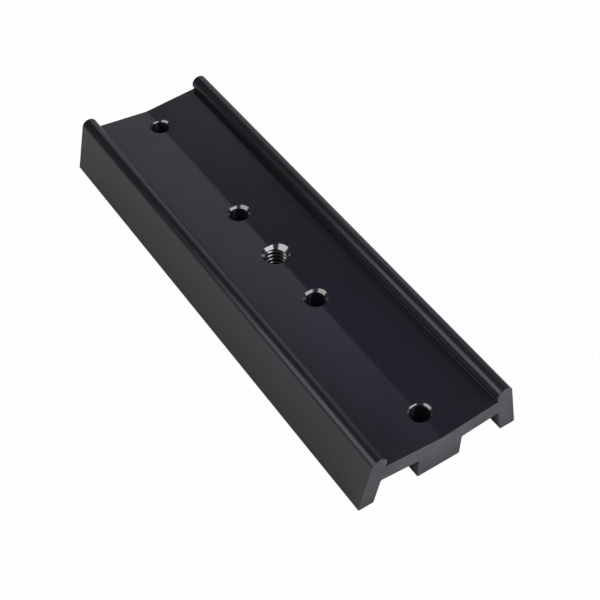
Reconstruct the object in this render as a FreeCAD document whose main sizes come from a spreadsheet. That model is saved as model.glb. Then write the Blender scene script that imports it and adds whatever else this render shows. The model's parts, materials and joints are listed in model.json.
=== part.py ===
# Dovetail plate for a camera or a small telescope: one extruded aluminium bar,
# sawn to length, drilled and tapped on its centre line.
#
# Frame: X across the bar, Y along it, Z up. The origin is on the floor under
# the middle of the bar, which stands on its two feet and its centre rib.
# Lengths are in millimetres and angles in degrees.

import FreeCAD, Part
import math
import os
import Sketcher

# Each row is one size that can be set by itself: its name, its value and what it measures.
DRIVING_SIZES = [
    ("bar_length", 133.0, "length of the bar between its sawn ends"),
    ("foot_span", 44.25, "width over the sharp outer corners of the feet, 44 over their rounds"),
    ("foot_width", 4.3, "width of one foot between its sharp corners"),
    ("flank_angle", 12.2, "lean of the clamping flanks from upright"),
    ("overall_height", 15.2, "height of the rail crests above the feet"),
    ("rail_rise", 5.0, "height of the rail crests above the bottom of the saddle"),
    ("bead_radius", 2.1, "radius of the round bead along each rail"),
    ("lip_root_radius", 0.25, "hollow where a bead meets the saddle"),
    ("saddle_angle", 5.4, "rise of each half of the saddle"),
    ("saddle_root_radius", 5.0, "hollow along the bottom of the saddle"),
    ("web_thickness", 4.55, "wall between the saddle and the channels below"),
    ("rib_width", 11.9, "width of the centre rib that carries the holes"),
    ("rib_root_radius", 0.5, "hollow where the rib meets the web"),
    ("leg_root_radius", 0.4, "hollow where a leg meets the web"),
    ("rib_edge_radius", 0.4, "round on the lower edges of the rib"),
    ("foot_inner_radius", 0.3, "round on the inner edge of a foot"),
    ("foot_outer_radius", 0.5, "round on the outer edge of a foot"),
    ("thread_bore", 5.1, "tapping bore of the centre hole, quarter inch with 20 turns to the inch"),
    ("thread_bevel", 0.8, "width of the countersunk ring round the centre hole"),
    ("screw_bore", 4.8, "bore of the four plain holes"),
    ("inner_bevel", 0.45, "width of the countersunk ring round each inner plain hole"),
    ("outer_bevel", 0.32, "width of the countersunk ring round each outer plain hole"),
    ("inner_spacing", 35.0, "distance between the two inner plain holes"),
    ("end_distance", 8.0, "distance from an end of the bar to the middle of its outer hole"),
    ("exit_chamfer", 0.4, "broken edge where each hole leaves the rib"),
    ("end_chamfer", 0.05, "broken edge all round each sawn end"),
]

# The countersinks have this full cone angle.
CONE_ANGLE = 90.0

# The bottom of the saddle hangs below the rail crests, whatever the bar's height.
SADDLE_HEIGHT = "(sizes.overall_height - sizes.rail_rise)"

START = 1
END = 2
CENTRE = 3
ORIGIN = (-1, 1)
FLOOR_LINE = -1
UPRIGHT_LINE = -2
TOLERANCE = 1e-4


def point(x, z):
    """Return a point of a sketch plane."""
    return FreeCAD.Vector(x, z, 0)


def write_sizes(document, rows):
    """Put the driving sizes into a sheet, one named cell for each."""
    sheet = document.addObject("Spreadsheet::Sheet", "sizes")
    for row, (name, value, meaning) in enumerate(rows, start=1):
        sheet.set(f"A{row}", name)
        sheet.set(f"B{row}", str(value))
        sheet.set(f"C{row}", meaning)
        sheet.setAlias(f"B{row}", name)
    document.recompute()
    return sheet


def saddle_height(size):
    """Return the height of the bottom of the saddle, as SADDLE_HEIGHT gives it."""
    return size.overall_height - size.rail_rise


def origin_plane(body, role):
    """Return one of the body's own origin planes."""
    return next(plane for plane in body.Origin.OriginFeatures if plane.Role == role)


def line_meets(first, first_direction, second, second_direction):
    """Return the point where two lines of the section cross."""
    gap = second - first
    cross = first_direction.x * second_direction.y - first_direction.y * second_direction.x
    along = (gap.x * second_direction.y - gap.y * second_direction.x) / cross
    return first + first_direction * along


def direction(start, end):
    """Return the unit vector from one point to another."""
    return (end - start).normalize()


def round_corner(before, corner, after, radius):
    """Return the first tangent point, the centre and the last tangent point of a rounded corner."""
    back = direction(corner, before)
    ahead = direction(corner, after)
    half_angle = back.getAngle(ahead) / 2
    reach = radius / math.tan(half_angle)
    centre = corner + (back + ahead).normalize() * (radius / math.sin(half_angle))
    return corner + back * reach, centre, corner + ahead * reach


def arc_between(first, centre, last, hollow):
    """Return the arc from first to last, which turns the other way round where it is hollow."""
    start, end = (last, first) if hollow else (first, last)
    start_angle = math.atan2(start.y - centre.y, start.x - centre.x)
    end_angle = math.atan2(end.y - centre.y, end.x - centre.x)
    if end_angle < start_angle:
        end_angle += 2 * math.pi
    circle = Part.Circle(centre, FreeCAD.Vector(0, 0, 1), (start - centre).Length)
    return Part.ArcOfCircle(circle, start_angle, end_angle)


def section_outline(size):
    """Return the elements of the right half of the section, in order from the floor's middle.

    Each entry is a name, its geometry and whether an arc is hollow. Going round the
    outline in this order, the metal lies on the left.
    """
    lean = math.radians(size.flank_angle)
    rise = math.radians(size.saddle_angle)
    uphill = point(math.cos(rise), math.sin(rise))
    up_flank = point(-math.sin(lean), math.cos(lean))
    out_of_flank = point(math.cos(lean), math.sin(lean))
    above_saddle = point(-math.sin(rise), math.cos(rise))

    floor_middle = point(0, 0)
    rib_corner = point(size.rib_width / 2, 0)
    outer_foot = point(size.foot_span / 2, 0)
    inner_foot = point(size.foot_span / 2 - size.foot_width, 0)
    saddle_bottom = point(0, saddle_height(size))
    web_bottom = saddle_bottom - above_saddle * size.web_thickness
    rib_root = line_meets(rib_corner, point(0, 1), web_bottom, uphill)
    leg_root = line_meets(inner_foot, up_flank, web_bottom, uphill)

    bead_height = size.overall_height - size.bead_radius
    flank_reach = (size.bead_radius + bead_height * math.sin(lean)) / math.cos(lean)
    bead_centre = point(size.foot_span / 2 - flank_reach, bead_height)
    flank_end = bead_centre + out_of_flank * size.bead_radius

    bead_above = (bead_centre - saddle_bottom).dot(above_saddle)
    bead_along = (bead_centre - saddle_bottom).dot(uphill)
    centre_distance = size.bead_radius + size.lip_root_radius
    lip_step = math.sqrt(centre_distance**2 - (bead_above - size.lip_root_radius) ** 2)
    saddle_end = saddle_bottom + uphill * (bead_along - lip_step)
    root_centre = saddle_bottom + point(0, size.saddle_root_radius / math.cos(rise))
    root_start = root_centre - above_saddle * size.saddle_root_radius
    root_end = root_centre - point(0, size.saddle_root_radius)
    lip_centre = saddle_end + above_saddle * size.lip_root_radius
    bead_end = bead_centre + direction(bead_centre, lip_centre) * size.bead_radius

    rib_edge = round_corner(floor_middle, rib_corner, rib_root, size.rib_edge_radius)
    rib_hollow = round_corner(rib_corner, rib_root, leg_root, size.rib_root_radius)
    leg_hollow = round_corner(rib_root, leg_root, inner_foot, size.leg_root_radius)
    inner_edge = round_corner(leg_root, inner_foot, outer_foot, size.foot_inner_radius)
    outer_edge = round_corner(inner_foot, outer_foot, flank_end, size.foot_outer_radius)
    return [
        ("rib_foot", Part.LineSegment(floor_middle, rib_edge[0]), False),
        ("rib_edge", arc_between(*rib_edge, False), False),
        ("rib_side", Part.LineSegment(rib_edge[2], rib_hollow[0]), False),
        ("rib_hollow", arc_between(*rib_hollow, True), True),
        ("web_underside", Part.LineSegment(rib_hollow[2], leg_hollow[0]), False),
        ("leg_hollow", arc_between(*leg_hollow, True), True),
        ("leg_inside", Part.LineSegment(leg_hollow[2], inner_edge[0]), False),
        ("foot_inner_edge", arc_between(*inner_edge, False), False),
        ("foot", Part.LineSegment(inner_edge[2], outer_edge[0]), False),
        ("foot_outer_edge", arc_between(*outer_edge, False), False),
        ("flank", Part.LineSegment(outer_edge[2], flank_end), False),
        ("bead", arc_between(flank_end, bead_centre, bead_end, False), False),
        ("lip_hollow", arc_between(bead_end, lip_centre, saddle_end, True), True),
        ("saddle", Part.LineSegment(saddle_end, root_start), False),
        ("saddle_root", arc_between(root_start, root_centre, root_end, True), True),
        ("middle", Part.LineSegment(root_end, floor_middle), False),
    ]


def name_size(sketch, name, constraint, expression):
    """Add one dimension to a sketch and bind it to the sheet."""
    index = sketch.addConstraint(constraint)
    sketch.renameConstraint(index, name)
    sketch.setExpression(f"Constraints.{name}", expression)


def draw_section(body, size):
    """Draw the right half of the section on the upright plane across the bar."""
    sketch = body.newObject("Sketcher::SketchObject", "half_section")
    sketch.AttachmentSupport = [(origin_plane(body, "XZ_Plane"), "")]
    sketch.MapMode = "FlatFace"

    outline = section_outline(size)
    element = {name: sketch.addGeometry(shape, False) for name, shape, _ in outline}
    first_end = {name: END if hollow else START for name, _, hollow in outline}
    last_end = {name: START if hollow else END for name, _, hollow in outline}

    # Every joint is smooth, apart from the two ends of the middle line.
    names = [name for name, _, _ in outline]
    for near, far in zip(names, names[1:] + names[:1]):
        kind = "Coincident" if "middle" in (near, far) else "Tangent"
        joint = (element[near], last_end[near], element[far], first_end[far])
        sketch.addConstraint(Sketcher.Constraint(kind, *joint))
    sketch.addConstraint(Sketcher.Constraint("Coincident", element["middle"], END, *ORIGIN))
    sketch.addConstraint(Sketcher.Constraint("Vertical", element["middle"]))
    sketch.addConstraint(Sketcher.Constraint("Horizontal", element["rib_foot"]))
    sketch.addConstraint(Sketcher.Constraint("Vertical", element["rib_side"]))
    sketch.addConstraint(Sketcher.Constraint("Horizontal", element["foot"]))
    on_floor = Sketcher.Constraint("PointOnObject", element["foot"], START, FLOOR_LINE)
    sketch.addConstraint(on_floor)
    sides = Sketcher.Constraint("Parallel", element["flank"], element["leg_inside"])
    sketch.addConstraint(sides)
    faces = Sketcher.Constraint("Parallel", element["saddle"], element["web_underside"])
    sketch.addConstraint(faces)
    root_arc = element["saddle_root"]
    root_middle = Sketcher.Constraint("PointOnObject", root_arc, CENTRE, UPRIGHT_LINE)
    sketch.addConstraint(root_middle)

    # Construction points mark the sharp corners of the foot and of the saddle's bottom.
    half_span = size.foot_span / 2
    sharp_corners = {
        "flank": (point(half_span, 0), FLOOR_LINE),
        "leg_inside": (point(half_span - size.foot_width, 0), FLOOR_LINE),
        "saddle": (point(0, saddle_height(size)), UPRIGHT_LINE),
    }
    corners = {}
    for side, (place, crossed_line) in sharp_corners.items():
        corners[side] = sketch.addGeometry(Part.Point(place), True)
        for held_by in (crossed_line, element[side]):
            held = Sketcher.Constraint("PointOnObject", corners[side], START, held_by)
            sketch.addConstraint(held)

    span = Sketcher.Constraint("DistanceX", *ORIGIN, corners["flank"], START, half_span)
    name_size(sketch, "half_span", span, "sizes.foot_span / 2")
    width_ends = (corners["leg_inside"], START, corners["flank"], START)
    width = Sketcher.Constraint("DistanceX", *width_ends, size.foot_width)
    name_size(sketch, "foot_width", width, "sizes.foot_width")
    rib_half = size.rib_width / 2
    rib = Sketcher.Constraint("DistanceX", *ORIGIN, element["rib_side"], START, rib_half)
    name_size(sketch, "rib_half", rib, "sizes.rib_width / 2")
    saddle_corner = (corners["saddle"], START)
    bottom = Sketcher.Constraint("DistanceY", *ORIGIN, *saddle_corner, saddle_height(size))
    name_size(sketch, "saddle_height", bottom, SADDLE_HEIGHT)
    underside = element["web_underside"]
    wall = Sketcher.Constraint("Distance", *saddle_corner, underside, size.web_thickness)
    name_size(sketch, "web_thickness", wall, "sizes.web_thickness")
    bead_height = size.overall_height - size.bead_radius
    crest = Sketcher.Constraint("DistanceY", *ORIGIN, element["bead"], CENTRE, bead_height)
    name_size(sketch, "bead_height", crest, "sizes.overall_height - sizes.bead_radius")
    underside_angle = math.radians(size.saddle_angle)
    rise = Sketcher.Constraint("Angle", element["web_underside"], underside_angle)
    name_size(sketch, "saddle_angle", rise, "sizes.saddle_angle")
    flank_direction = math.radians(90 + size.flank_angle)
    lean = Sketcher.Constraint("Angle", element["flank"], flank_direction)
    name_size(sketch, "flank_direction", lean, "90 + sizes.flank_angle")

    radii = {
        "rib_edge": "rib_edge_radius",
        "rib_hollow": "rib_root_radius",
        "leg_hollow": "leg_root_radius",
        "foot_inner_edge": "foot_inner_radius",
        "foot_outer_edge": "foot_outer_radius",
        "bead": "bead_radius",
        "lip_hollow": "lip_root_radius",
        "saddle_root": "saddle_root_radius",
    }
    for arc, size_name in radii.items():
        radius = Sketcher.Constraint("Radius", element[arc], getattr(size, size_name))
        name_size(sketch, size_name, radius, f"sizes.{size_name}")
    return sketch


def extrude_bar(document, body, size):
    """Pad half the section both ways along the bar and mirror it to the other side."""
    half = body.newObject("PartDesign::Pad", "half_bar")
    half.Profile = draw_section(body, size)
    half.SideType = "Symmetric"
    half.setExpression("Length", "sizes.bar_length")
    document.recompute()

    bar = body.newObject("PartDesign::Mirrored", "whole_bar")
    bar.Originals = [half]
    bar.MirrorPlane = (origin_plane(body, "YZ_Plane"), [""])
    bar.Refine = True
    body.Tip = bar
    document.recompute()
    return bar


def drill(document, body, name, size, places, bore, bevel):
    """Drill and countersink one set of holes, which go down through the web and the rib.

    The saddle rises away from its middle, so the drawing plane of the holes lies above it
    by more than it rises within a mouth, and the cone is wider there by twice that step.
    places gives each hole's place along the bar as a value and an expression.
    """
    before = body.Tip.Shape.Volume
    mouth = getattr(size, bore) + 2 * getattr(size, bevel)
    mouth_rule = f"(sizes.{bore} + 2 * sizes.{bevel})"
    step = mouth * math.tan(math.radians(size.saddle_angle))
    step_rule = f"{mouth_rule} * tan(sizes.saddle_angle * 1 deg)"
    centres = body.newObject("Sketcher::SketchObject", f"{name}_centres")
    centres.AttachmentSupport = [(origin_plane(body, "XY_Plane"), "")]
    centres.MapMode = "FlatFace"
    centres.AttachmentOffset = FreeCAD.Placement(
        FreeCAD.Vector(0, 0, saddle_height(size) + step), FreeCAD.Rotation()
    )
    centres.setExpression("AttachmentOffset.Base.z", f"{SADDLE_HEIGHT} + {step_rule}")
    bore_radius = getattr(size, bore) / 2
    for number, (place, rule) in enumerate(places, start=1):
        circle = Part.Circle(point(0, place), FreeCAD.Vector(0, 0, 1), bore_radius)
        ring = centres.addGeometry(circle, False)
        radius = Sketcher.Constraint("Radius", ring, bore_radius)
        name_size(centres, f"radius_{number}", radius, f"sizes.{bore} / 2")
        on_middle = Sketcher.Constraint("PointOnObject", ring, CENTRE, UPRIGHT_LINE)
        centres.addConstraint(on_middle)
        if rule is None:
            at_origin = Sketcher.Constraint("PointOnObject", ring, CENTRE, FLOOR_LINE)
            centres.addConstraint(at_origin)
        else:
            along = Sketcher.Constraint("DistanceY", *ORIGIN, ring, CENTRE, place)
            name_size(centres, f"place_{number}", along, rule)
    document.recompute()

    holes = body.newObject("PartDesign::Hole", name)
    holes.Profile = centres
    holes.DepthType = "ThroughAll"
    holes.HoleCutType = "Countersink"
    holes.HoleCutCustomValues = True
    holes.HoleCutCountersinkAngle = CONE_ANGLE
    holes.Diameter = getattr(size, bore)
    holes.HoleCutDiameter = mouth + 2 * step
    holes.setExpression("Diameter", f"sizes.{bore}")
    holes.setExpression("HoleCutDiameter", f"{mouth_rule} + 2 * {step_rule}")
    body.Tip = holes
    document.recompute()

    least = 0.9 * len(places) * math.pi * bore_radius**2 * saddle_height(size)
    removed = before - holes.Shape.Volume
    if removed < least:
        raise RuntimeError(f"{name} removed {removed:.1f} mm3, less than {least:.1f} mm3")
    return holes


def break_exits(document, body):
    """Break the edge of each hole where it leaves the underside of the rib."""
    drilled = body.Tip
    rims = []
    for number, edge in enumerate(drilled.Shape.Edges, start=1):
        is_circle = isinstance(edge.Curve, Part.Circle)
        if is_circle and abs(edge.BoundBox.ZMax) < TOLERANCE:
            rims.append(f"Edge{number}")
    exits = body.newObject("PartDesign::Chamfer", "hole_exits")
    exits.Base = (drilled, rims)
    exits.setExpression("Size", "sizes.exit_chamfer")
    body.Tip = exits
    document.recompute()
    return exits


def break_ends(document, body, size):
    """Break the edges all round the two sawn ends."""
    drilled = body.Tip
    end_edges = []
    for number, edge in enumerate(drilled.Shape.Edges, start=1):
        box = edge.BoundBox
        across = box.YLength < TOLERANCE
        if across and abs(abs(box.YMax) - size.bar_length / 2) < TOLERANCE:
            end_edges.append(f"Edge{number}")
    ends = body.newObject("PartDesign::Chamfer", "broken_ends")
    ends.Base = (drilled, end_edges)
    ends.setExpression("Size", "sizes.end_chamfer")
    body.Tip = ends
    document.recompute()
    return ends


def build_plate(document, size):
    """Build the whole plate as one body."""
    body = document.addObject("PartDesign::Body", "dovetail_plate")
    body.Label = "dovetail_plate"
    extrude_bar(document, body, size)

    centre = [(0.0, None)]
    inner = size.inner_spacing / 2
    inner_pair = [(-inner, "-sizes.inner_spacing / 2"), (inner, "sizes.inner_spacing / 2")]
    outer = size.bar_length / 2 - size.end_distance
    outer_rule = "sizes.bar_length / 2 - sizes.end_distance"
    outer_pair = [(-outer, f"-({outer_rule})"), (outer, outer_rule)]
    drill(document, body, "thread_hole", size, centre, "thread_bore", "thread_bevel")
    drill(document, body, "inner_holes", size, inner_pair, "screw_bore", "inner_bevel")
    drill(document, body, "outer_holes", size, outer_pair, "screw_bore", "outer_bevel")
    break_exits(document, body)
    break_ends(document, body, size)
    return body


def check_document(document, bodies):
    """Stop if a feature failed or a piece has no sound shape."""
    for item in document.Objects:
        if "Invalid" in item.State or "Error" in item.State:
            raise RuntimeError(f"{item.Label} failed: {item.State}")
    for body in bodies:
        shape = body.Shape
        if shape.isNull() or not shape.isValid() or len(shape.Solids) != 1:
            raise RuntimeError(f"{body.Label} isn't one sound solid")


def main():
    """Build the plate, check it and write its solid."""
    os.makedirs("parts", exist_ok=True)
    document = FreeCAD.newDocument("dovetail_plate")
    size = write_sizes(document, DRIVING_SIZES)
    bodies = [build_plate(document, size)]
    document.recompute()
    check_document(document, bodies)
    for body in bodies:
        body.Shape.exportStep(f"parts/{body.Label}.step")
        box = body.Shape.BoundBox
        extent = f"{box.XLength:.2f} x {box.YLength:.2f} x {box.ZLength:.2f} mm"
        faces = len(body.Shape.Faces)
        print(f"{body.Label}: {extent}, {body.Shape.Volume:.0f} mm3, {faces} faces")


main()
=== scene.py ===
import json
import logging
import math
from dataclasses import dataclass, field
from enum import Enum

import bmesh
import bpy
from mathutils import Matrix, Vector


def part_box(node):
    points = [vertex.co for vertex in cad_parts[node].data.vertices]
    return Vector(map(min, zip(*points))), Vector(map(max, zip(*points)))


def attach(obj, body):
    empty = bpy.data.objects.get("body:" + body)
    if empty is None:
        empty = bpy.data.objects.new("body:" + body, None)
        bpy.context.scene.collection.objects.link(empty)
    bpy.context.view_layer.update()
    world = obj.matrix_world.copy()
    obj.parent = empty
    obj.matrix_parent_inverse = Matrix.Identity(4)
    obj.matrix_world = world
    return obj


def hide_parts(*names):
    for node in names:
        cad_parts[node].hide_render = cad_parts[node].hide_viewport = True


# The finished look of a dovetail plate: one extruded bar of black anodised aluminium,
# sawn to length and drilled along its middle. X runs across the bar, Y along it and Z up.
# The plate's sizes are in millimetres, and its mesh is written in metres.

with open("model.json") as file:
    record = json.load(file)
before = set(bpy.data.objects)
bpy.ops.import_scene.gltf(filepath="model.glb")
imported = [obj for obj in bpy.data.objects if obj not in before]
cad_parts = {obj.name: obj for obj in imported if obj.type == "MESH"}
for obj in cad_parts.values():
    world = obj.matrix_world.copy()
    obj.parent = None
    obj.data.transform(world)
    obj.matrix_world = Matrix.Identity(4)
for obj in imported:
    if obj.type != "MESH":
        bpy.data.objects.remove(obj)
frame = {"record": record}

MM = 0.001
NODE = "dovetail_plate"
BODY = "root"
# the photograph's width in pixels, and the camera's in millimetres
PHOTO_SIDE = 600.0
SENSOR_WIDTH = 36.0
# nearly all values of a noise pattern lie between these two
NOISE_LOW, NOISE_HIGH = 0.3, 0.7
# a wave pattern at a scale of 1 has this many waves a unit
WAVES_A_UNIT = 10 / math.pi

log = logging.getLogger(NODE)


def find_mount(name: str) -> dict:
    """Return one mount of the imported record.

    Args:
        name: The mount's name in the record.

    Returns:
        The mount, with its place in metres, its axis and its dimensions.
    """
    return next(mount for mount in frame["record"]["mounts"] if mount["name"] == name)


class Graph:
    """Adds nodes to one tree, each with its settings and what feeds it."""

    def __init__(self, tree: bpy.types.NodeTree) -> None:
        """Start on a tree.

        Args:
            tree: The tree that gets the nodes.
        """
        self.tree = tree

    def add(self, kind: str, feeds: dict | None = None, **settings: object) -> bpy.types.Node:
        """Add one node.

        Args:
            kind: The node's type name.
            feeds: For each input, by name or number, a value, a socket or a list of sockets.
            settings: The node's own properties.

        Returns:
            The new node.
        """
        node = self.tree.nodes.new(kind)
        for name, value in settings.items():
            setattr(node, name, value)
        for key, value in (feeds or {}).items():
            sources = value if isinstance(value, list) else [value]
            if isinstance(sources[0], bpy.types.NodeSocket):
                for source in sources:
                    self.tree.links.new(source, node.inputs[key])
            else:
                node.inputs[key].default_value = value
        return node

    def math(self, operation: str, *values: object) -> bpy.types.NodeSocket:
        """Add one sum on numbers.

        Args:
            operation: The sum's name, such as MULTIPLY.
            values: Numbers or sockets, in order.

        Returns:
            The socket that holds the result.
        """
        feeds = dict(enumerate(values))
        return self.add("ShaderNodeMath", feeds, operation=operation).outputs[0]

    def seen_rays(self) -> bpy.types.NodeSocket:
        """Add the test for rays that show a place to the eye, straight or through clear pieces.

        Returns:
            The socket, which is 1 for such rays and 0 for others.
        """
        ray = self.add("ShaderNodeLightPath")
        return self.math("MAXIMUM", ray.outputs["Is Camera Ray"], ray.outputs["Is Transmission Ray"])


@dataclass
class Arc:
    """One round stretch of the section, gone round with the metal on its left."""

    centre: Vector
    radius: float
    start: float
    sweep: float

    def points(self, step: float) -> list[tuple[Vector, Vector]]:
        """Divide the arc.

        Args:
            step: The largest turn between two points, in radians.

        Returns:
            Each point with the direction that leads out of the metal there.
        """
        count = max(2, math.ceil(abs(self.sweep) / step))
        side = math.copysign(1.0, self.sweep)
        found = []
        for number in range(count + 1):
            angle = self.start + self.sweep * number / count
            ray = Vector((math.cos(angle), math.sin(angle)))
            found.append((self.centre + ray * self.radius, ray * side))
        return found


def heading(ray: Vector) -> float:
    """Return the direction of a flat vector as an angle."""
    return math.atan2(ray.y, ray.x)


def turn_between(start: float, end: float) -> float:
    """Return the shorter turn from one angle to another, with its sign."""
    return (end - start + math.pi) % (2 * math.pi) - math.pi


def lines_meet(first: Vector, along_first: Vector, second: Vector, along_second: Vector) -> Vector:
    """Find where two lines cross.

    Args:
        first: A point on one line.
        along_first: That line's direction.
        second: A point on the other line.
        along_second: The other line's direction.

    Returns:
        The point where they cross.
    """
    reach = (second - first).cross(along_second) / along_first.cross(along_second)
    return first + along_first * reach


def round_corner(before: Vector, corner: Vector, after: Vector, radius: float) -> Arc:
    """Round a corner of the section.

    Args:
        before: A point on the side that comes first.
        corner: The sharp corner.
        after: A point on the side that comes next.
        radius: The radius of the round.

    Returns:
        The arc, tangent to both sides.
    """
    back = (before - corner).normalized()
    ahead = (after - corner).normalized()
    half_angle = back.angle(ahead) / 2
    reach = radius / math.tan(half_angle)
    centre = corner + (back + ahead).normalized() * (radius / math.sin(half_angle))
    start = heading(corner + back * reach - centre)
    end = heading(corner + ahead * reach - centre)
    return Arc(centre, radius, start, turn_between(start, end))


@dataclass
class Section:
    """The extruded section: two feet, a centre rib and a shallow V between two beaded rails."""

    half_span: float
    height: float
    saddle_bottom: float
    lean: float
    rise: float
    foot_width: float = 4.3
    bead_radius: float = 2.1
    lip_root_radius: float = 0.25
    saddle_root_radius: float = 5.0
    web_thickness: float = 4.55
    rib_width: float = 11.9
    rib_root_radius: float = 0.5
    leg_root_radius: float = 0.4
    rib_edge_radius: float = 0.4
    foot_inner_radius: float = 0.3
    foot_outer_radius: float = 0.5
    fine_turn: float = math.radians(4)

    @classmethod
    def from_frame(cls) -> "Section":
        """Take the section's main sizes from the frame's box and its mounts."""
        flank, saddle = find_mount("right_flank"), find_mount("saddle_right")
        lean = math.atan2(flank["axis"][2], flank["axis"][0])
        rise = math.atan2(-saddle["axis"][0], saddle["axis"][2])
        flank_x, _, flank_z = flank["pos_m"]
        saddle_x, _, saddle_z = saddle["pos_m"]
        return cls(
            half_span=(flank_x + flank_z * math.tan(lean)) / MM,
            height=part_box(NODE)[1].z / MM,
            saddle_bottom=(saddle_z - saddle_x * math.tan(rise)) / MM,
            lean=lean,
            rise=rise,
        )

    def uphill(self) -> Vector:
        """Return the direction up the right half of the saddle."""
        return Vector((math.cos(self.rise), math.sin(self.rise)))

    def above_saddle(self) -> Vector:
        """Return the direction that leads straight out of the right half of the saddle."""
        return Vector((-math.sin(self.rise), math.cos(self.rise)))

    def rail_arcs(self) -> tuple[Arc, Arc]:
        """Return the bead on top of the right flank and the hollow at its foot."""
        saddle_bottom = Vector((0, self.saddle_bottom))
        bead_height = self.height - self.bead_radius
        flank_reach = self.bead_radius + bead_height * math.sin(self.lean)
        bead_middle = Vector((self.half_span - flank_reach / math.cos(self.lean), bead_height))
        above = (bead_middle - saddle_bottom).dot(self.above_saddle()) - self.lip_root_radius
        along = (bead_middle - saddle_bottom).dot(self.uphill())
        lip_step = math.sqrt((self.bead_radius + self.lip_root_radius) ** 2 - above**2)
        saddle_end = saddle_bottom + self.uphill() * (along - lip_step)
        lip_middle = saddle_end + self.above_saddle() * self.lip_root_radius
        bead_end = heading(lip_middle - bead_middle) % (2 * math.pi)
        lip_start = heading(bead_middle - lip_middle)
        lip_turn = turn_between(lip_start, heading(-self.above_saddle()))
        return (
            Arc(bead_middle, self.bead_radius, self.lean, bead_end - self.lean),
            Arc(lip_middle, self.lip_root_radius, lip_start, lip_turn),
        )

    def half_arcs(self) -> list[Arc]:
        """Return the round stretches of the right half, from the floor's middle to the saddle's."""
        up_flank = Vector((-math.sin(self.lean), math.cos(self.lean)))
        floor_middle = Vector((0, 0))
        rib_corner = Vector((self.rib_width / 2, 0))
        outer_foot = Vector((self.half_span, 0))
        inner_foot = Vector((self.half_span - self.foot_width, 0))
        saddle_bottom = Vector((0, self.saddle_bottom))
        web_bottom = saddle_bottom - self.above_saddle() * self.web_thickness
        rib_root = lines_meet(rib_corner, Vector((0, 1)), web_bottom, self.uphill())
        leg_root = lines_meet(inner_foot, up_flank, web_bottom, self.uphill())
        root_middle = saddle_bottom + Vector((0, self.saddle_root_radius / math.cos(self.rise)))
        saddle_root = Arc(root_middle, self.saddle_root_radius, heading(-self.above_saddle()), -self.rise)
        return [
            round_corner(floor_middle, rib_corner, rib_root, self.rib_edge_radius),
            round_corner(rib_corner, rib_root, leg_root, self.rib_root_radius),
            round_corner(rib_root, leg_root, inner_foot, self.leg_root_radius),
            round_corner(leg_root, inner_foot, outer_foot, self.foot_inner_radius),
            round_corner(inner_foot, outer_foot, outer_foot + up_flank, self.foot_outer_radius),
            *self.rail_arcs(),
            saddle_root,
        ]

    def outline(self) -> list[tuple[Vector, Vector]]:
        """Return every point of the whole section, with the direction out of the metal."""
        right = [pair for arc in self.half_arcs() for pair in arc.points(self.fine_turn)]
        flip = Vector((-1, 1))
        left = [(place * flip, out * flip) for place, out in reversed(right[:-1])]
        return right + left

    def curve_mesh(self) -> bpy.types.Object:
        """Make the section as a ring of edges, laid out as the profile of a curve along Y.

        Returns:
            The object. Each point keeps the direction into the metal in the attribute inward.
        """
        outline = self.outline()
        count = len(outline)
        mesh = bpy.data.meshes.new("section")
        places = [(place.x * MM, -place.y * MM, 0) for place, _ in outline]
        mesh.from_pydata(places, [(i, (i + 1) % count) for i in range(count)], [])
        inward = mesh.attributes.new("inward", "FLOAT_VECTOR", "POINT")
        inward.data.foreach_set("vector", [part for _, out in outline for part in (-out.x, 0, -out.y)])
        section = bpy.data.objects.new("section", mesh)
        bpy.context.collection.objects.link(section)
        return section


@dataclass
class Drill:
    """The stepped cutter of one hole size: a bore with a 90 degree mouth and a broken exit."""

    name: str
    bore_radius: float
    bevel: float
    saddle_bottom: float
    mouth_finish: str
    bore_finish: str
    exit_chamfer: float = 0.4
    overrun: float = 1.2
    facets: int = 96

    def profile(self) -> list[tuple[float, float]]:
        """Return the cutter's radius and height at each step, from its foot to its top."""
        exit_radius = self.bore_radius + self.exit_chamfer
        mouth_radius = self.bore_radius + self.bevel
        return [
            (exit_radius + self.overrun, -self.overrun),
            (self.bore_radius, self.exit_chamfer),
            (self.bore_radius, self.saddle_bottom - self.bevel),
            (mouth_radius + self.overrun, self.saddle_bottom + self.overrun),
        ]

    def make(self, materials: dict[str, bpy.types.Material]) -> bpy.types.Object:
        """Turn the profile into a closed cutter that stands at the origin.

        Args:
            materials: The plate's materials, of which the cut faces get the cutter's two finishes.

        Returns:
            The cutter.
        """
        shape = bmesh.new()
        rings = []
        for radius, height in self.profile():
            angles = [2 * math.pi * number / self.facets for number in range(self.facets)]
            places = [(math.cos(a) * radius * MM, math.sin(a) * radius * MM, height * MM) for a in angles]
            rings.append([shape.verts.new(place) for place in places])
        # the broken exit and the mouth get the first finish, and the bore between them the second
        for number, (low, high) in enumerate(zip(rings, rings[1:])):
            for here in range(self.facets):
                ahead = (here + 1) % self.facets
                face = shape.faces.new((low[here], low[ahead], high[ahead], high[here]))
                face.material_index = number % 2
        shape.faces.new(reversed(rings[0]))
        shape.faces.new(rings[-1])
        mesh = bpy.data.meshes.new(self.name)
        shape.to_mesh(mesh)
        shape.free()
        for finish in (self.mouth_finish, self.bore_finish):
            mesh.materials.append(materials[finish])
        cutter = bpy.data.objects.new(self.name, mesh)
        bpy.context.collection.objects.link(cutter)
        return cutter


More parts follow.
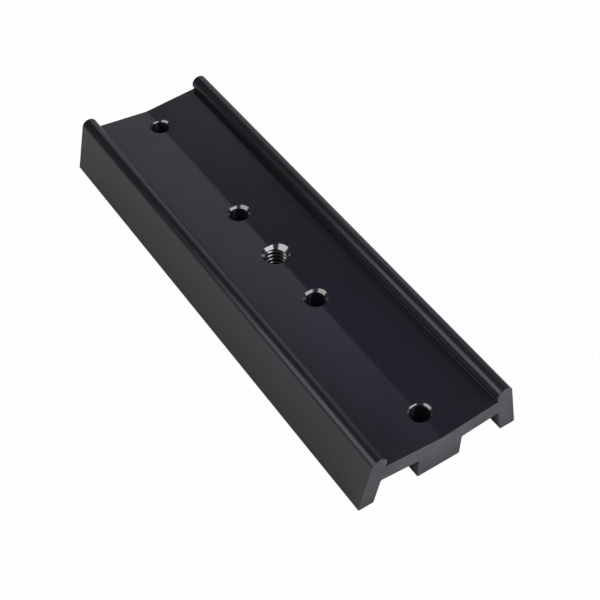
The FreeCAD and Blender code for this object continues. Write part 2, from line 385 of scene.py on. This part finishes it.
@dataclass
class ThreadCoil:
    """The helical groove of the quarter-inch camera thread, 20 turns to the inch."""

    outer_radius: float = 3.175
    inner_radius: float = 2.4
    pitch: float = 1.27
    flank_slope: float = math.tan(math.radians(30))
    low: float = -1.0
    turns: float = 9.5
    phase: float = math.radians(95)
    points_a_turn: int = 72

    def groove_width(self, radius: float) -> float:
        """Return the groove's width at a radius."""
        return self.pitch / 8 + 2 * (self.outer_radius - radius) * self.flank_slope

    def add_to(self, graph: Graph, finish: bpy.types.Material) -> bpy.types.NodeSocket:
        """Build the coil that cuts the thread.

        Args:
            graph: The tree that gets the nodes.
            finish: The material of the thread's flanks.

        Returns:
            The socket that holds the coil.
        """
        path = graph.add("GeometryNodeCurveSpiral", {
            "Resolution": self.points_a_turn,
            "Rotations": self.turns,
            "Start Radius": self.outer_radius * MM,
            "End Radius": self.outer_radius * MM,
            "Height": self.turns * self.pitch * MM,
            "Reverse": True,
        })
        upright = graph.add("GeometryNodeSetCurveNormal", {"Curve": path.outputs[0]}, mode="Z_UP")
        crest, root = self.groove_width(self.inner_radius) / 2, self.groove_width(self.outer_radius) / 2
        depth = self.inner_radius - self.outer_radius
        groove = graph.add("GeometryNodeCurvePrimitiveQuadrilateral", {
            "Point 1": (0, -root * MM, 0),
            "Point 2": (0, root * MM, 0),
            "Point 3": (depth * MM, crest * MM, 0),
            "Point 4": (depth * MM, -crest * MM, 0),
        }, mode="POINTS")
        coil = graph.add("GeometryNodeCurveToMesh", {
            "Curve": upright.outputs[0], "Profile Curve": groove.outputs[0], "Fill Caps": True,
        })
        placed = graph.add("GeometryNodeTransform", {
            "Geometry": coil.outputs[0],
            "Translation": (0, 0, self.low * MM),
            "Rotation": (0, 0, self.phase),
        })
        return graph.add("GeometryNodeSetMaterial", {
            "Geometry": placed.outputs[0], "Material": finish,
        }).outputs[0]


class Marks(Enum):
    """The marks that a way of working leaves in the metal."""

    EXTRUDED = "fine lines along the bar"
    SAWN = "fine arcs across the sawn ends"
    TURNED = "fine rings round the holes"


@dataclass(frozen=True)
class TintAndPaintedLightPatch:
    """A broad soft patch where a finish's colour is scaled up: on the skin it makes part of the saddle
    bluer, and on the sawn ends it is painted light that makes the faces brighter towards their top.
    """

    gain: tuple[float, float, float]
    middle: tuple[float, float, float]
    reach: tuple[float, float]
    stretch: tuple[float, float, float]

    def add_to(self, graph: Graph, place: bpy.types.NodeSocket) -> bpy.types.NodeSocket:
        """Add the patch.

        Args:
            graph: The material's tree.
            place: The place on the bar, in millimetres.

        Returns:
            The colour that the finish's own colour is multiplied by, which is 1 outside the patch.
        """
        stretched = graph.add("ShaderNodeVectorMath", {0: place, 1: self.stretch}, operation="MULTIPLY")
        middle = tuple(part * stretch for part, stretch in zip(self.middle, self.stretch))
        away = graph.add("ShaderNodeVectorMath", {0: stretched.outputs[0], 1: middle}, operation="DISTANCE")
        near, far = self.reach
        share = graph.add("ShaderNodeMapRange", {
            "Value": away.outputs["Value"], "From Min": near, "From Max": far, "To Min": 1.0, "To Max": 0.0,
        }, interpolation_type="SMOOTHSTEP").outputs["Result"]
        shares = graph.add("ShaderNodeCombineXYZ", {"X": share, "Y": share, "Z": share})
        return graph.add("ShaderNodeVectorMath", {
            0: self.gain, 1: shares.outputs[0], 2: (1, 1, 1),
        }, operation="MULTIPLY_ADD").outputs[0]


@dataclass(frozen=True)
class AnodisedFinish:
    """Black anodised aluminium: a thin dark oxide skin over finely worked metal.

    Depths, pitches, sizes and reaches are in millimetres, and shares and spreads go from 0 to 1.
    """

    name: str
    marks: Marks
    colour: tuple[float, float, float]
    roughness: float
    mark_depth: float
    mark_pitch: float
    index: float = 1.5
    grain_depth: float = 0.0006
    grain_size: float = 0.16
    cloud_size: float = 9.0
    cloud_spread: float = 0.03
    cloud_share: float = 0.0
    colour_spread: float = 0.25
    patch: TintAndPaintedLightPatch | None = None
    # painted shade: how much of the colour and the sheen is taken away in the hollows at the beads' feet
    painted_hollow_shade: float = 0.0
    hollow_reach: tuple[float, float] = (0.3, 0.5)
    line_stretch: float = 160.0
    saw_middle: tuple[float, float, float] = (-14.0, 0.0, -95.0)
    ring_waver: float = 1.5
    specular_level: float = 0.5

    def add_marks(self, graph: Graph, place: bpy.types.NodeSocket) -> bpy.types.NodeSocket:
        """Add the pattern of the working marks.

        Args:
            graph: The material's tree.
            place: The place on the bar, in millimetres.

        Returns:
            The height of the marks, from 0 to 1.
        """
        if self.marks is Marks.EXTRUDED:
            scale = (1 / self.mark_pitch, 1 / (self.mark_pitch * self.line_stretch), 1 / self.mark_pitch)
            stretched = graph.add("ShaderNodeMapping", {"Vector": place, "Scale": scale})
            lines = graph.add("ShaderNodeTexNoise", {
                "Vector": stretched.outputs[0], "Scale": 1.0, "Detail": 3.0,
            })
            return lines.outputs["Fac"]
        if self.marks is Marks.SAWN:
            shift = tuple(-part for part in self.saw_middle)
            centred = graph.add("ShaderNodeMapping", {"Vector": place, "Location": shift})
            kind = {"wave_type": "RINGS", "rings_direction": "Y"}
        else:
            centred = graph.add("ShaderNodeMapping", {"Vector": place})
            kind = {"wave_type": "BANDS", "bands_direction": "Z"}
        rings = graph.add("ShaderNodeTexWave", {
            "Vector": centred.outputs[0], "Scale": 1 / (self.mark_pitch * WAVES_A_UNIT),
            "Distortion": self.ring_waver, "Detail": 2.0, "Detail Scale": 0.6,
        }, **kind)
        return rings.outputs["Fac"]

    def light_left_by_painted_shade(self, graph: Graph, place: bpy.types.NodeSocket, hollow: Vector) -> bpy.types.NodeSocket:
        """Add the painted shade in the hollows at the foot of both beads, as the share of colour and sheen
        that is left there.

        Args:
            graph: The material's tree.
            place: The place on the bar, in millimetres.
            hollow: The middle of the right hollow, across the bar and up.

        Returns:
            The share, which is 1 outside the hollows.
        """
        parts = graph.add("ShaderNodeSeparateXYZ", {"Vector": place})
        folded = graph.add("ShaderNodeCombineXYZ", {
            "X": graph.math("ABSOLUTE", parts.outputs["X"]), "Z": parts.outputs["Z"],
        })
        away = graph.add("ShaderNodeVectorMath", {
            0: folded.outputs[0], 1: (hollow.x, 0, hollow.y),
        }, operation="DISTANCE")
        near, far = self.hollow_reach
        painted_shade = graph.add("ShaderNodeMapRange", {
            "Value": away.outputs["Value"], "From Min": near, "From Max": far,
            "To Min": self.painted_hollow_shade, "To Max": 0.0,
        }).outputs["Result"]
        return graph.math("SUBTRACT", 1.0, painted_shade)

    def add_surface(
        self, graph: Graph, place: bpy.types.NodeSocket, grain: bpy.types.NodeSocket
    ) -> bpy.types.NodeSocket:
        """Add the relief of the working marks with the fine grain on top.

        Args:
            graph: The material's tree.
            place: The place on the bar, in millimetres.
            grain: The fine pattern.

        Returns:
            The direction in which the surface faces.
        """
        marked = graph.add("ShaderNodeBump", {
            "Height": self.add_marks(graph, place), "Strength": 1.0, "Distance": self.mark_depth * MM,
        })
        return graph.add("ShaderNodeBump", {
            "Height": grain, "Strength": 1.0, "Distance": self.grain_depth * MM, "Normal": marked.outputs[0],
        }).outputs[0]

    def add_colour(
        self,
        graph: Graph,
        place: bpy.types.NodeSocket,
        grain: bpy.types.NodeSocket,
        clouds: bpy.types.NodeSocket,
    ) -> bpy.types.NodeSocket:
        """Add the colour of the dyed skin.

        Args:
            graph: The material's tree.
            place: The place on the bar, in millimetres.
            grain: The fine pattern.
            clouds: The broad pattern.

        Returns:
            The colour, paler and deeper by the patterns, with the patch where there is one.
        """
        fine = graph.math("MULTIPLY", grain, 1 - self.cloud_share)
        broad = graph.math("MULTIPLY", clouds, self.cloud_share)
        tint = graph.add("ShaderNodeValToRGB", {"Fac": graph.math("ADD", fine, broad)})
        deep, pale = tint.color_ramp.elements
        deep.position, pale.position = NOISE_LOW, NOISE_HIGH
        deep.color = (*(part * (1 - self.colour_spread) for part in self.colour), 1)
        pale.color = (*(part * (1 + self.colour_spread) for part in self.colour), 1)
        if self.patch is None:
            return tint.outputs["Color"]
        return graph.add("ShaderNodeVectorMath", {
            0: tint.outputs["Color"], 1: self.patch.add_to(graph, place),
        }, operation="MULTIPLY").outputs[0]

    def make(self, hollow: Vector) -> bpy.types.Material:
        """Build the material.

        Args:
            hollow: The middle of the hollow at the foot of the right bead, across the bar and up.

        Returns:
            The material, with its pattern fixed to the bar.
        """
        material = bpy.data.materials.new(self.name)
        material.use_nodes = True
        tree = material.node_tree
        tree.nodes.clear()
        graph = Graph(tree)
        metres = graph.add("ShaderNodeTexCoord").outputs["Object"]
        place = graph.add("ShaderNodeMapping", {
            "Vector": metres, "Scale": (1 / MM, 1 / MM, 1 / MM),
        }).outputs[0]
        grain = graph.add("ShaderNodeTexNoise", {
            "Vector": place, "Scale": 1 / self.grain_size, "Detail": 2.0,
        }).outputs["Fac"]
        clouds = graph.add("ShaderNodeTexNoise", {
            "Vector": place, "Scale": 1 / self.cloud_size, "Detail": 3.0,
        }).outputs["Fac"]
        roughness = graph.add("ShaderNodeMapRange", {
            "Value": clouds, "From Min": NOISE_LOW, "From Max": NOISE_HIGH,
            "To Min": self.roughness - self.cloud_spread, "To Max": self.roughness + self.cloud_spread,
        })
        # painted shade: the colour and the sheen are scaled down in the hollows at the beads' feet
        share = self.light_left_by_painted_shade(graph, place, hollow)
        colour = graph.add("ShaderNodeVectorMath", {
            0: self.add_colour(graph, place, grain, clouds), "Scale": share,
        }, operation="SCALE")
        skin = graph.add("ShaderNodeBsdfPrincipled", {
            "Base Color": colour.outputs[0],
            "Roughness": roughness.outputs["Result"],
            "IOR": self.index,
            "Specular IOR Level": graph.math("MULTIPLY", share, self.specular_level),
            "Normal": self.add_surface(graph, place, grain),
        })
        graph.add("ShaderNodeOutputMaterial", {"Surface": skin.outputs[0]})
        return material


@dataclass
class DovetailPlate:
    """The whole bar: its section drawn out, its ends broken and its five holes cut."""

    section: Section
    length: float
    coil: ThreadCoil
    end_chamfer: float = 0.05
    thread_bevel: float = 0.8
    inner_bevel: float = 0.45
    outer_bevel: float = 0.22
    sharp_angle: float = math.radians(20)
    end_facing: float = 0.99
    skin: AnodisedFinish = AnodisedFinish(
        "anodised_skin", Marks.EXTRUDED, colour=(0.0170, 0.0174, 0.0218), roughness=0.23,
        mark_depth=0.0006, mark_pitch=0.35, painted_hollow_shade=0.3,
        patch=TintAndPaintedLightPatch(
            gain=(0.0, 0.0, 0.32), middle=(-2.0, -37.0, 11.0), reach=(5.0, 65.0), stretch=(2.0, 1.0, 1.0)))
    # the ends' patch is painted light: it makes the end faces up to 2.75 times brighter towards their top
    # middle, so that they stay darker towards the floor
    ends: AnodisedFinish = AnodisedFinish(
        "anodised_ends", Marks.SAWN, colour=(0.0190, 0.0186, 0.0258), roughness=0.34,
        mark_depth=0.0010, mark_pitch=0.50, cloud_size=5.0, cloud_share=0.7, colour_spread=0.7,
        patch=TintAndPaintedLightPatch(
            gain=(1.75, 1.75, 1.70), middle=(-5.0, 0.0, 11.0), reach=(1.0, 13.0), stretch=(0.35, 0.0, 1.0)))
    drilled: AnodisedFinish = AnodisedFinish(
        "anodised_drilled", Marks.TURNED, colour=(0.0200, 0.0205, 0.0260), roughness=0.17,
        mark_depth=0.0004, mark_pitch=0.12, index=2.4)
    bored: AnodisedFinish = AnodisedFinish(
        "anodised_bored", Marks.TURNED, colour=(0.0140, 0.0150, 0.0200), roughness=0.30,
        mark_depth=0.0004, mark_pitch=0.12)
    tapped: AnodisedFinish = AnodisedFinish(
        "anodised_tapped", Marks.TURNED, colour=(0.0200, 0.0200, 0.0230), roughness=0.13,
        mark_depth=0.0004, mark_pitch=0.12, index=3.0)
    materials: dict[str, bpy.types.Material] = field(default_factory=dict)

    @classmethod
    def from_frame(cls) -> "DovetailPlate":
        """Take the bar's sizes from the frame."""
        low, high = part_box(NODE)
        return cls(section=Section.from_frame(), length=(high.y - low.y) / MM, coil=ThreadCoil())

    def drill_rows(self) -> list[tuple[Drill, float, int]]:
        """Return each hole size with the spacing of its holes and how many there are."""
        bottom = self.section.saddle_bottom
        thread = find_mount("tripod_thread")["dims"]
        inner, outer = find_mount("inner_screw_pair")["dims"], find_mount("outer_screw_pair")["dims"]
        tapped, mouth, bore = self.tapped.name, self.drilled.name, self.bored.name
        return [
            (Drill("thread_drill", thread["r_mm"], self.thread_bevel, bottom, tapped, tapped), 0.0, 1),
            (Drill("inner_drill", inner["hole_r_mm"], self.inner_bevel, bottom, mouth, bore),
             inner["spacing_y_mm"], 2),
            (Drill("outer_drill", outer["hole_r_mm"], self.outer_bevel, bottom, mouth, bore),
             outer["spacing_y_mm"], 2),
        ]

    def make_finishes(self) -> None:
        """Make the materials of the skin, the sawn ends, the holes' mouths and bores and the thread."""
        _, hollow = self.section.rail_arcs()
        for finish in (self.skin, self.ends, self.drilled, self.bored, self.tapped):
            self.materials[finish.name] = finish.make(hollow.centre)
            log.info("finish %s: %s", finish.name, finish.marks.value)

    def add_bar(self, graph: Graph, inputs: bpy.types.Node) -> bpy.types.NodeSocket:
        """Draw the section out along the bar and break the edges of both ends.

        Args:
            graph: The tree that gets the nodes.
            inputs: The tree's input node.

        Returns:
            The socket that holds the closed bar.
        """
        length, chamfer = inputs.outputs["Length"], inputs.outputs["End Chamfer"]
        half = graph.math("MULTIPLY", length, 0.5)
        ends = [graph.add("ShaderNodeCombineXYZ", {"Y": place}).outputs[0]
                for place in (graph.math("MULTIPLY", half, -1.0), half)]
        line = graph.add("GeometryNodeCurvePrimitiveLine", {"Start": ends[0], "End": ends[1]})
        # four rings of the section: one at each end and one where each end's broken edge begins
        stations = graph.add("GeometryNodeResampleCurve", {"Curve": line.outputs[0], "Count": 4})
        number = graph.add("GeometryNodeInputIndex").outputs[0]
        from_middle = graph.math("SUBTRACT", number, 1.5)
        is_inner = graph.math("LESS_THAN", graph.math("ABSOLUTE", from_middle), 1.0)
        inset = graph.math("SUBTRACT", half, graph.math("MULTIPLY", chamfer, is_inner))
        along = graph.math("MULTIPLY", graph.math("SIGN", from_middle), inset)
        place = graph.add("ShaderNodeCombineXYZ", {"Y": along}).outputs[0]
        path = graph.add("GeometryNodeSetPosition", {"Geometry": stations.outputs[0], "Position": place})
        ring = graph.add("GeometryNodeMeshToCurve", {"Mesh": inputs.outputs["Section"]})
        bar = graph.add("GeometryNodeCurveToMesh", {
            "Curve": path.outputs[0], "Profile Curve": ring.outputs[0], "Fill Caps": True,
        })
        position = graph.add("GeometryNodeInputPosition").outputs[0]
        reach = graph.add("ShaderNodeSeparateXYZ", {"Vector": position}).outputs["Y"]
        near_end = graph.math("SUBTRACT", half, graph.math("MULTIPLY", chamfer, 0.5))
        at_end = graph.math("GREATER_THAN", graph.math("ABSOLUTE", reach), near_end)
        inward = graph.add("GeometryNodeInputNamedAttribute", {"Name": "inward"}, data_type="FLOAT_VECTOR")
        step = graph.add("ShaderNodeVectorMath", {
            0: inward.outputs["Attribute"], "Scale": chamfer,
        }, operation="SCALE")
        broken = graph.add("GeometryNodeSetPosition", {
            "Geometry": bar.outputs[0], "Selection": at_end, "Offset": step.outputs[0],
        })
        return graph.add("GeometryNodeSetMaterial", {
            "Geometry": broken.outputs[0], "Material": self.materials[self.skin.name],
        }).outputs[0]

    def add_drills(self, graph: Graph, inputs: bpy.types.Node) -> list[bpy.types.NodeSocket]:
        """Stand a cutter at each hole's place.

        Args:
            graph: The tree that gets the nodes.
            inputs: The tree's input node.

        Returns:
            One socket for each hole size, with its cutters.
        """
        rows = []
        for drill, _, count in self.drill_rows():
            spacing = inputs.outputs[f"{drill.name} spacing"]
            first = graph.math("MULTIPLY", spacing, -0.5)
            start = graph.add("ShaderNodeCombineXYZ", {"Y": first}).outputs[0]
            offset = graph.add("ShaderNodeCombineXYZ", {"Y": spacing}).outputs[0]
            places = graph.add("GeometryNodeMeshLine", {
                "Count": count, "Start Location": start, "Offset": offset,
            })
            cutter = graph.add("GeometryNodeObjectInfo", {"Object": inputs.outputs[drill.name]})
            stood = graph.add("GeometryNodeInstanceOnPoints", {
                "Points": places.outputs[0], "Instance": cutter.outputs["Geometry"],
            })
            rows.append(graph.add("GeometryNodeRealizeInstances", {0: stood.outputs[0]}).outputs[0])
        return rows

    def add_shading(self, graph: Graph, bar: bpy.types.NodeSocket) -> bpy.types.NodeSocket:
        """Shade the round stretches smoothly and keep the corners crisp.

        Args:
            graph: The tree that gets the nodes.
            bar: The bar with all its holes cut.

        Returns:
            The socket that holds the shaded bar.
        """
        angle = graph.add("GeometryNodeInputMeshEdgeAngle").outputs["Unsigned Angle"]
        is_soft = graph.math("LESS_THAN", angle, self.sharp_angle)
        faces = graph.add("GeometryNodeSetShadeSmooth", {"Geometry": bar})
        return graph.add("GeometryNodeSetShadeSmooth", {
            "Geometry": faces.outputs[0], "Shade Smooth": is_soft,
        }, domain="EDGE").outputs[0]

    def make_tree(self) -> bpy.types.NodeTree:
        """Build the geometry tree that draws, breaks, drills and threads the bar.

        Returns:
            The tree, with the bar's sizes as named inputs.
        """
        tree = bpy.data.node_groups.new("drawn_and_drilled_bar", "GeometryNodeTree")
        tree.interface.new_socket(name="Section", in_out="INPUT", socket_type="NodeSocketGeometry")
        for name in ("Length", "End Chamfer"):
            tree.interface.new_socket(name=name, in_out="INPUT", socket_type="NodeSocketFloat")
        for drill, _, _ in self.drill_rows():
            tree.interface.new_socket(name=drill.name, in_out="INPUT", socket_type="NodeSocketObject")
            spacing_name = f"{drill.name} spacing"
            tree.interface.new_socket(name=spacing_name, in_out="INPUT", socket_type="NodeSocketFloat")
        tree.interface.new_socket(name="Plate", in_out="OUTPUT", socket_type="NodeSocketGeometry")
        graph = Graph(tree)
        inputs = graph.add("NodeGroupInput")

        bar = self.add_bar(graph, inputs)
        drilled = graph.add("GeometryNodeMeshBoolean", {
            "Mesh 1": bar, "Mesh 2": self.add_drills(graph, inputs),
        }, operation="DIFFERENCE", solver="EXACT")
        threaded = graph.add("GeometryNodeMeshBoolean", {
            "Mesh 1": drilled.outputs[0],
            "Mesh 2": self.coil.add_to(graph, self.materials[self.tapped.name]),
        }, operation="DIFFERENCE", solver="EXACT")
        smoothed = self.add_shading(graph, threaded.outputs[0])
        real = graph.add("GeometryNodeRealizeInstances", {0: smoothed})
        normal = graph.add("GeometryNodeInputNormal").outputs[0]
        facing = graph.add("ShaderNodeSeparateXYZ", {"Vector": normal}).outputs["Y"]
        is_end = graph.math("GREATER_THAN", graph.math("ABSOLUTE", facing), self.end_facing)
        dressed = graph.add("GeometryNodeSetMaterial", {
            "Geometry": real.outputs[0], "Selection": is_end, "Material": self.materials[self.ends.name],
        })
        graph.add("NodeGroupOutput", {0: dressed.outputs[0]})
        return tree

    def build(self) -> bpy.types.Object:
        """Make the finished bar as one plain mesh.

        Returns:
            The bar, which rides on the CAD body and stands for the CAD solid.
        """
        self.make_finishes()
        source = self.section.curve_mesh()
        tree = self.make_tree()
        shaper = source.modifiers.new("shape", "NODES")
        shaper.node_group = tree
        keys = {item.name: item.identifier for item in tree.interface.items_tree if item.in_out == "INPUT"}
        shaper[keys["Length"]] = self.length * MM
        shaper[keys["End Chamfer"]] = self.end_chamfer * MM
        cutters = []
        for drill, spacing, _ in self.drill_rows():
            cutters.append(drill.make(self.materials))
            shaper[keys[drill.name]] = cutters[-1]
            shaper[keys[f"{drill.name} spacing"]] = spacing * MM
        weighted = source.modifiers.new("flat_faces_first", "WEIGHTED_NORMAL")
        weighted.keep_sharp = True
        weighted.mode = "FACE_AREA"
        bpy.context.view_layer.update()

        evaluated = source.evaluated_get(bpy.context.evaluated_depsgraph_get())
        mesh = bpy.data.meshes.new_from_object(evaluated)
        mesh.name = "dovetail_plate_finish"
        source.modifiers.clear()
        for spare in (source, *cutters):
            bpy.data.objects.remove(spare)
        plate = bpy.data.objects.new("dovetail_plate_finish", mesh)
        bpy.context.collection.objects.link(plate)
        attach(plate, BODY)
        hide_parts(NODE)
        log.info("bar: %d points, %d faces", len(mesh.vertices), len(mesh.polygons))
        return plate


@dataclass(frozen=True)
class Softbox:
    """One soft lamp, aimed at the middle of the bar.

    Azimuth is counted from +X towards +Y, and lengths are in metres.
    """

    name: str
    azimuth: float
    elevation: float
    distance: float
    width: float
    height: float
    power: float
    colour: tuple[float, float, float] = (1.0, 1.0, 1.0)

    def hang(self) -> bpy.types.Object:
        """Hang the lamp.

        Returns:
            The lamp.
        """
        data = bpy.data.lights.new(self.name, "AREA")
        data.shape = "RECTANGLE"
        data.size, data.size_y = self.width, self.height
        data.energy, data.color = self.power, self.colour
        lamp = bpy.data.objects.new(self.name, data)
        around, up = math.radians(self.azimuth), math.radians(self.elevation)
        out = Vector((math.cos(around) * math.cos(up), math.sin(around) * math.cos(up), math.sin(up)))
        turned = out.to_track_quat("Z", "Y").to_matrix().to_4x4()
        lamp.matrix_world = Matrix.Translation(out * self.distance) @ turned
        bpy.context.collection.objects.link(lamp)
        log.info("lamp %s: %.2f W", self.name, self.power)
        return lamp


@dataclass
class Studio:
    """A plain pale floor, four soft lamps and a white surround. Lengths are in metres."""

    floor_level: float = -0.0001
    floor_reach: float = 3.0
    floor_colour: float = 0.8
    surround: float = 0.05
    camera_share: float = 0.98
    lamps: tuple[Softbox, ...] = (
        Softbox("left_softbox", azimuth=174.0, elevation=36.0, distance=0.6,
                width=0.66, height=0.5, power=1.89),
        Softbox("front_softbox", azimuth=303.0, elevation=36.0, distance=0.28,
                width=0.3, height=0.3, power=0.664),
        Softbox("back_reflector", azimuth=49.0, elevation=28.0, distance=0.8,
                width=0.6, height=0.5, power=0.54, colour=(0.96, 0.98, 1.10)),
        Softbox("low_reflector", azimuth=36.0, elevation=5.0, distance=0.8,
                width=0.5, height=0.14, power=0.08),
    )

    def lay_floor(self) -> bpy.types.Object:
        """Lay the floor, which can be looked through from below.

        Returns:
            The floor.
        """
        reach = self.floor_reach
        corners = [(-reach, -reach), (reach, -reach), (reach, reach), (-reach, reach)]
        mesh = bpy.data.meshes.new("floor")
        mesh.from_pydata([(x, y, self.floor_level) for x, y in corners], [], [(0, 1, 2, 3)])
        material = bpy.data.materials.new("white_floor")
        material.use_nodes = True
        tree = material.node_tree
        tree.nodes.clear()
        graph = Graph(tree)
        pale = (self.floor_colour, self.floor_colour, self.floor_colour, 1)
        matt = graph.add("ShaderNodeBsdfDiffuse", {"Color": pale})
        white = graph.add("ShaderNodeEmission", {"Color": (1, 1, 1, 1), "Strength": 1.0})
        clear = graph.add("ShaderNodeBsdfTransparent")
        share = graph.math("MULTIPLY", graph.seen_rays(), self.camera_share)
        top = graph.add("ShaderNodeMixShader", {0: share, 1: matt.outputs[0], 2: white.outputs[0]})
        below = graph.add("ShaderNodeNewGeometry").outputs["Backfacing"]
        both = graph.add("ShaderNodeMixShader", {0: below, 1: top.outputs[0], 2: clear.outputs[0]})
        graph.add("ShaderNodeOutputMaterial", {"Surface": both.outputs[0]})
        mesh.materials.append(material)
        floor = bpy.data.objects.new("floor", mesh)
        bpy.context.collection.objects.link(floor)
        return floor

    def light_surround(self) -> None:
        """Make the surround white to the camera and nearly dark to the bar."""
        world = bpy.data.worlds.new("surround")
        world.use_nodes = True
        bpy.context.scene.world = world
        tree = world.node_tree
        tree.nodes.clear()
        graph = Graph(tree)
        white = graph.add("ShaderNodeBackground", {"Color": (1, 1, 1, 1), "Strength": 1.0})
        dim = graph.add("ShaderNodeBackground", {"Color": (1, 1, 1, 1), "Strength": self.surround})
        seen = graph.add("ShaderNodeMixShader", {
            0: graph.seen_rays(), 1: dim.outputs[0], 2: white.outputs[0],
        })
        graph.add("ShaderNodeOutputWorld", {"Surface": seen.outputs[0]})

    def build(self) -> None:
        """Set up the floor, the surround and the lamps."""
        self.lay_floor()
        self.light_surround()
        for lamp in self.lamps:
            lamp.hang()
        bpy.context.scene.view_settings.view_transform = "Standard"


@dataclass(frozen=True)
class PhotoCamera:
    """The camera of the photograph, solved from the bar's straight edges.

    Its place is in millimetres, its angles in degrees, and the two clip distances in metres.
    """

    place: tuple[float, float, float] = (-111.307, -176.413, 223.806)
    azimuth: float = -33.9038
    elevation: float = 47.8504
    roll: float = 0.3599
    focal_pixels: float = 1205.4
    nearest: float = 0.01
    farthest: float = 20.0

    def build(self) -> bpy.types.Object:
        """Stand the camera and make it the scene's own.

        Returns:
            The camera.
        """
        around, up_angle = math.radians(self.azimuth), math.radians(self.elevation)
        back = Vector((
            math.sin(around) * math.cos(up_angle),
            -math.cos(around) * math.cos(up_angle),
            math.sin(up_angle),
        ))
        level = Vector((math.cos(around), math.sin(around), 0))
        upright = back.cross(level)
        tilt = math.radians(self.roll)
        right = level * math.cos(tilt) + upright * math.sin(tilt)
        up = back.cross(right)
        data = bpy.data.cameras.new("photo_camera")
        data.sensor_width = SENSOR_WIDTH
        data.sensor_fit = "HORIZONTAL"
        data.lens = self.focal_pixels * SENSOR_WIDTH / PHOTO_SIDE
        data.clip_start, data.clip_end = self.nearest, self.farthest
        camera = bpy.data.objects.new("photo_camera", data)
        turned = Matrix((right, up, back)).transposed().to_4x4()
        camera.matrix_world = Matrix.Translation(Vector(self.place) * MM) @ turned
        bpy.context.collection.objects.link(camera)
        bpy.context.scene.camera = camera
        return camera


def main() -> None:
    """Build the plate, the studio and the camera in order."""
    logging.basicConfig(level=logging.INFO, format="%(name)s: %(message)s")
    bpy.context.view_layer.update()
    DovetailPlate.from_frame().build()
    Studio().build()
    PhotoCamera().build()


if __name__ == "__main__":
    main()
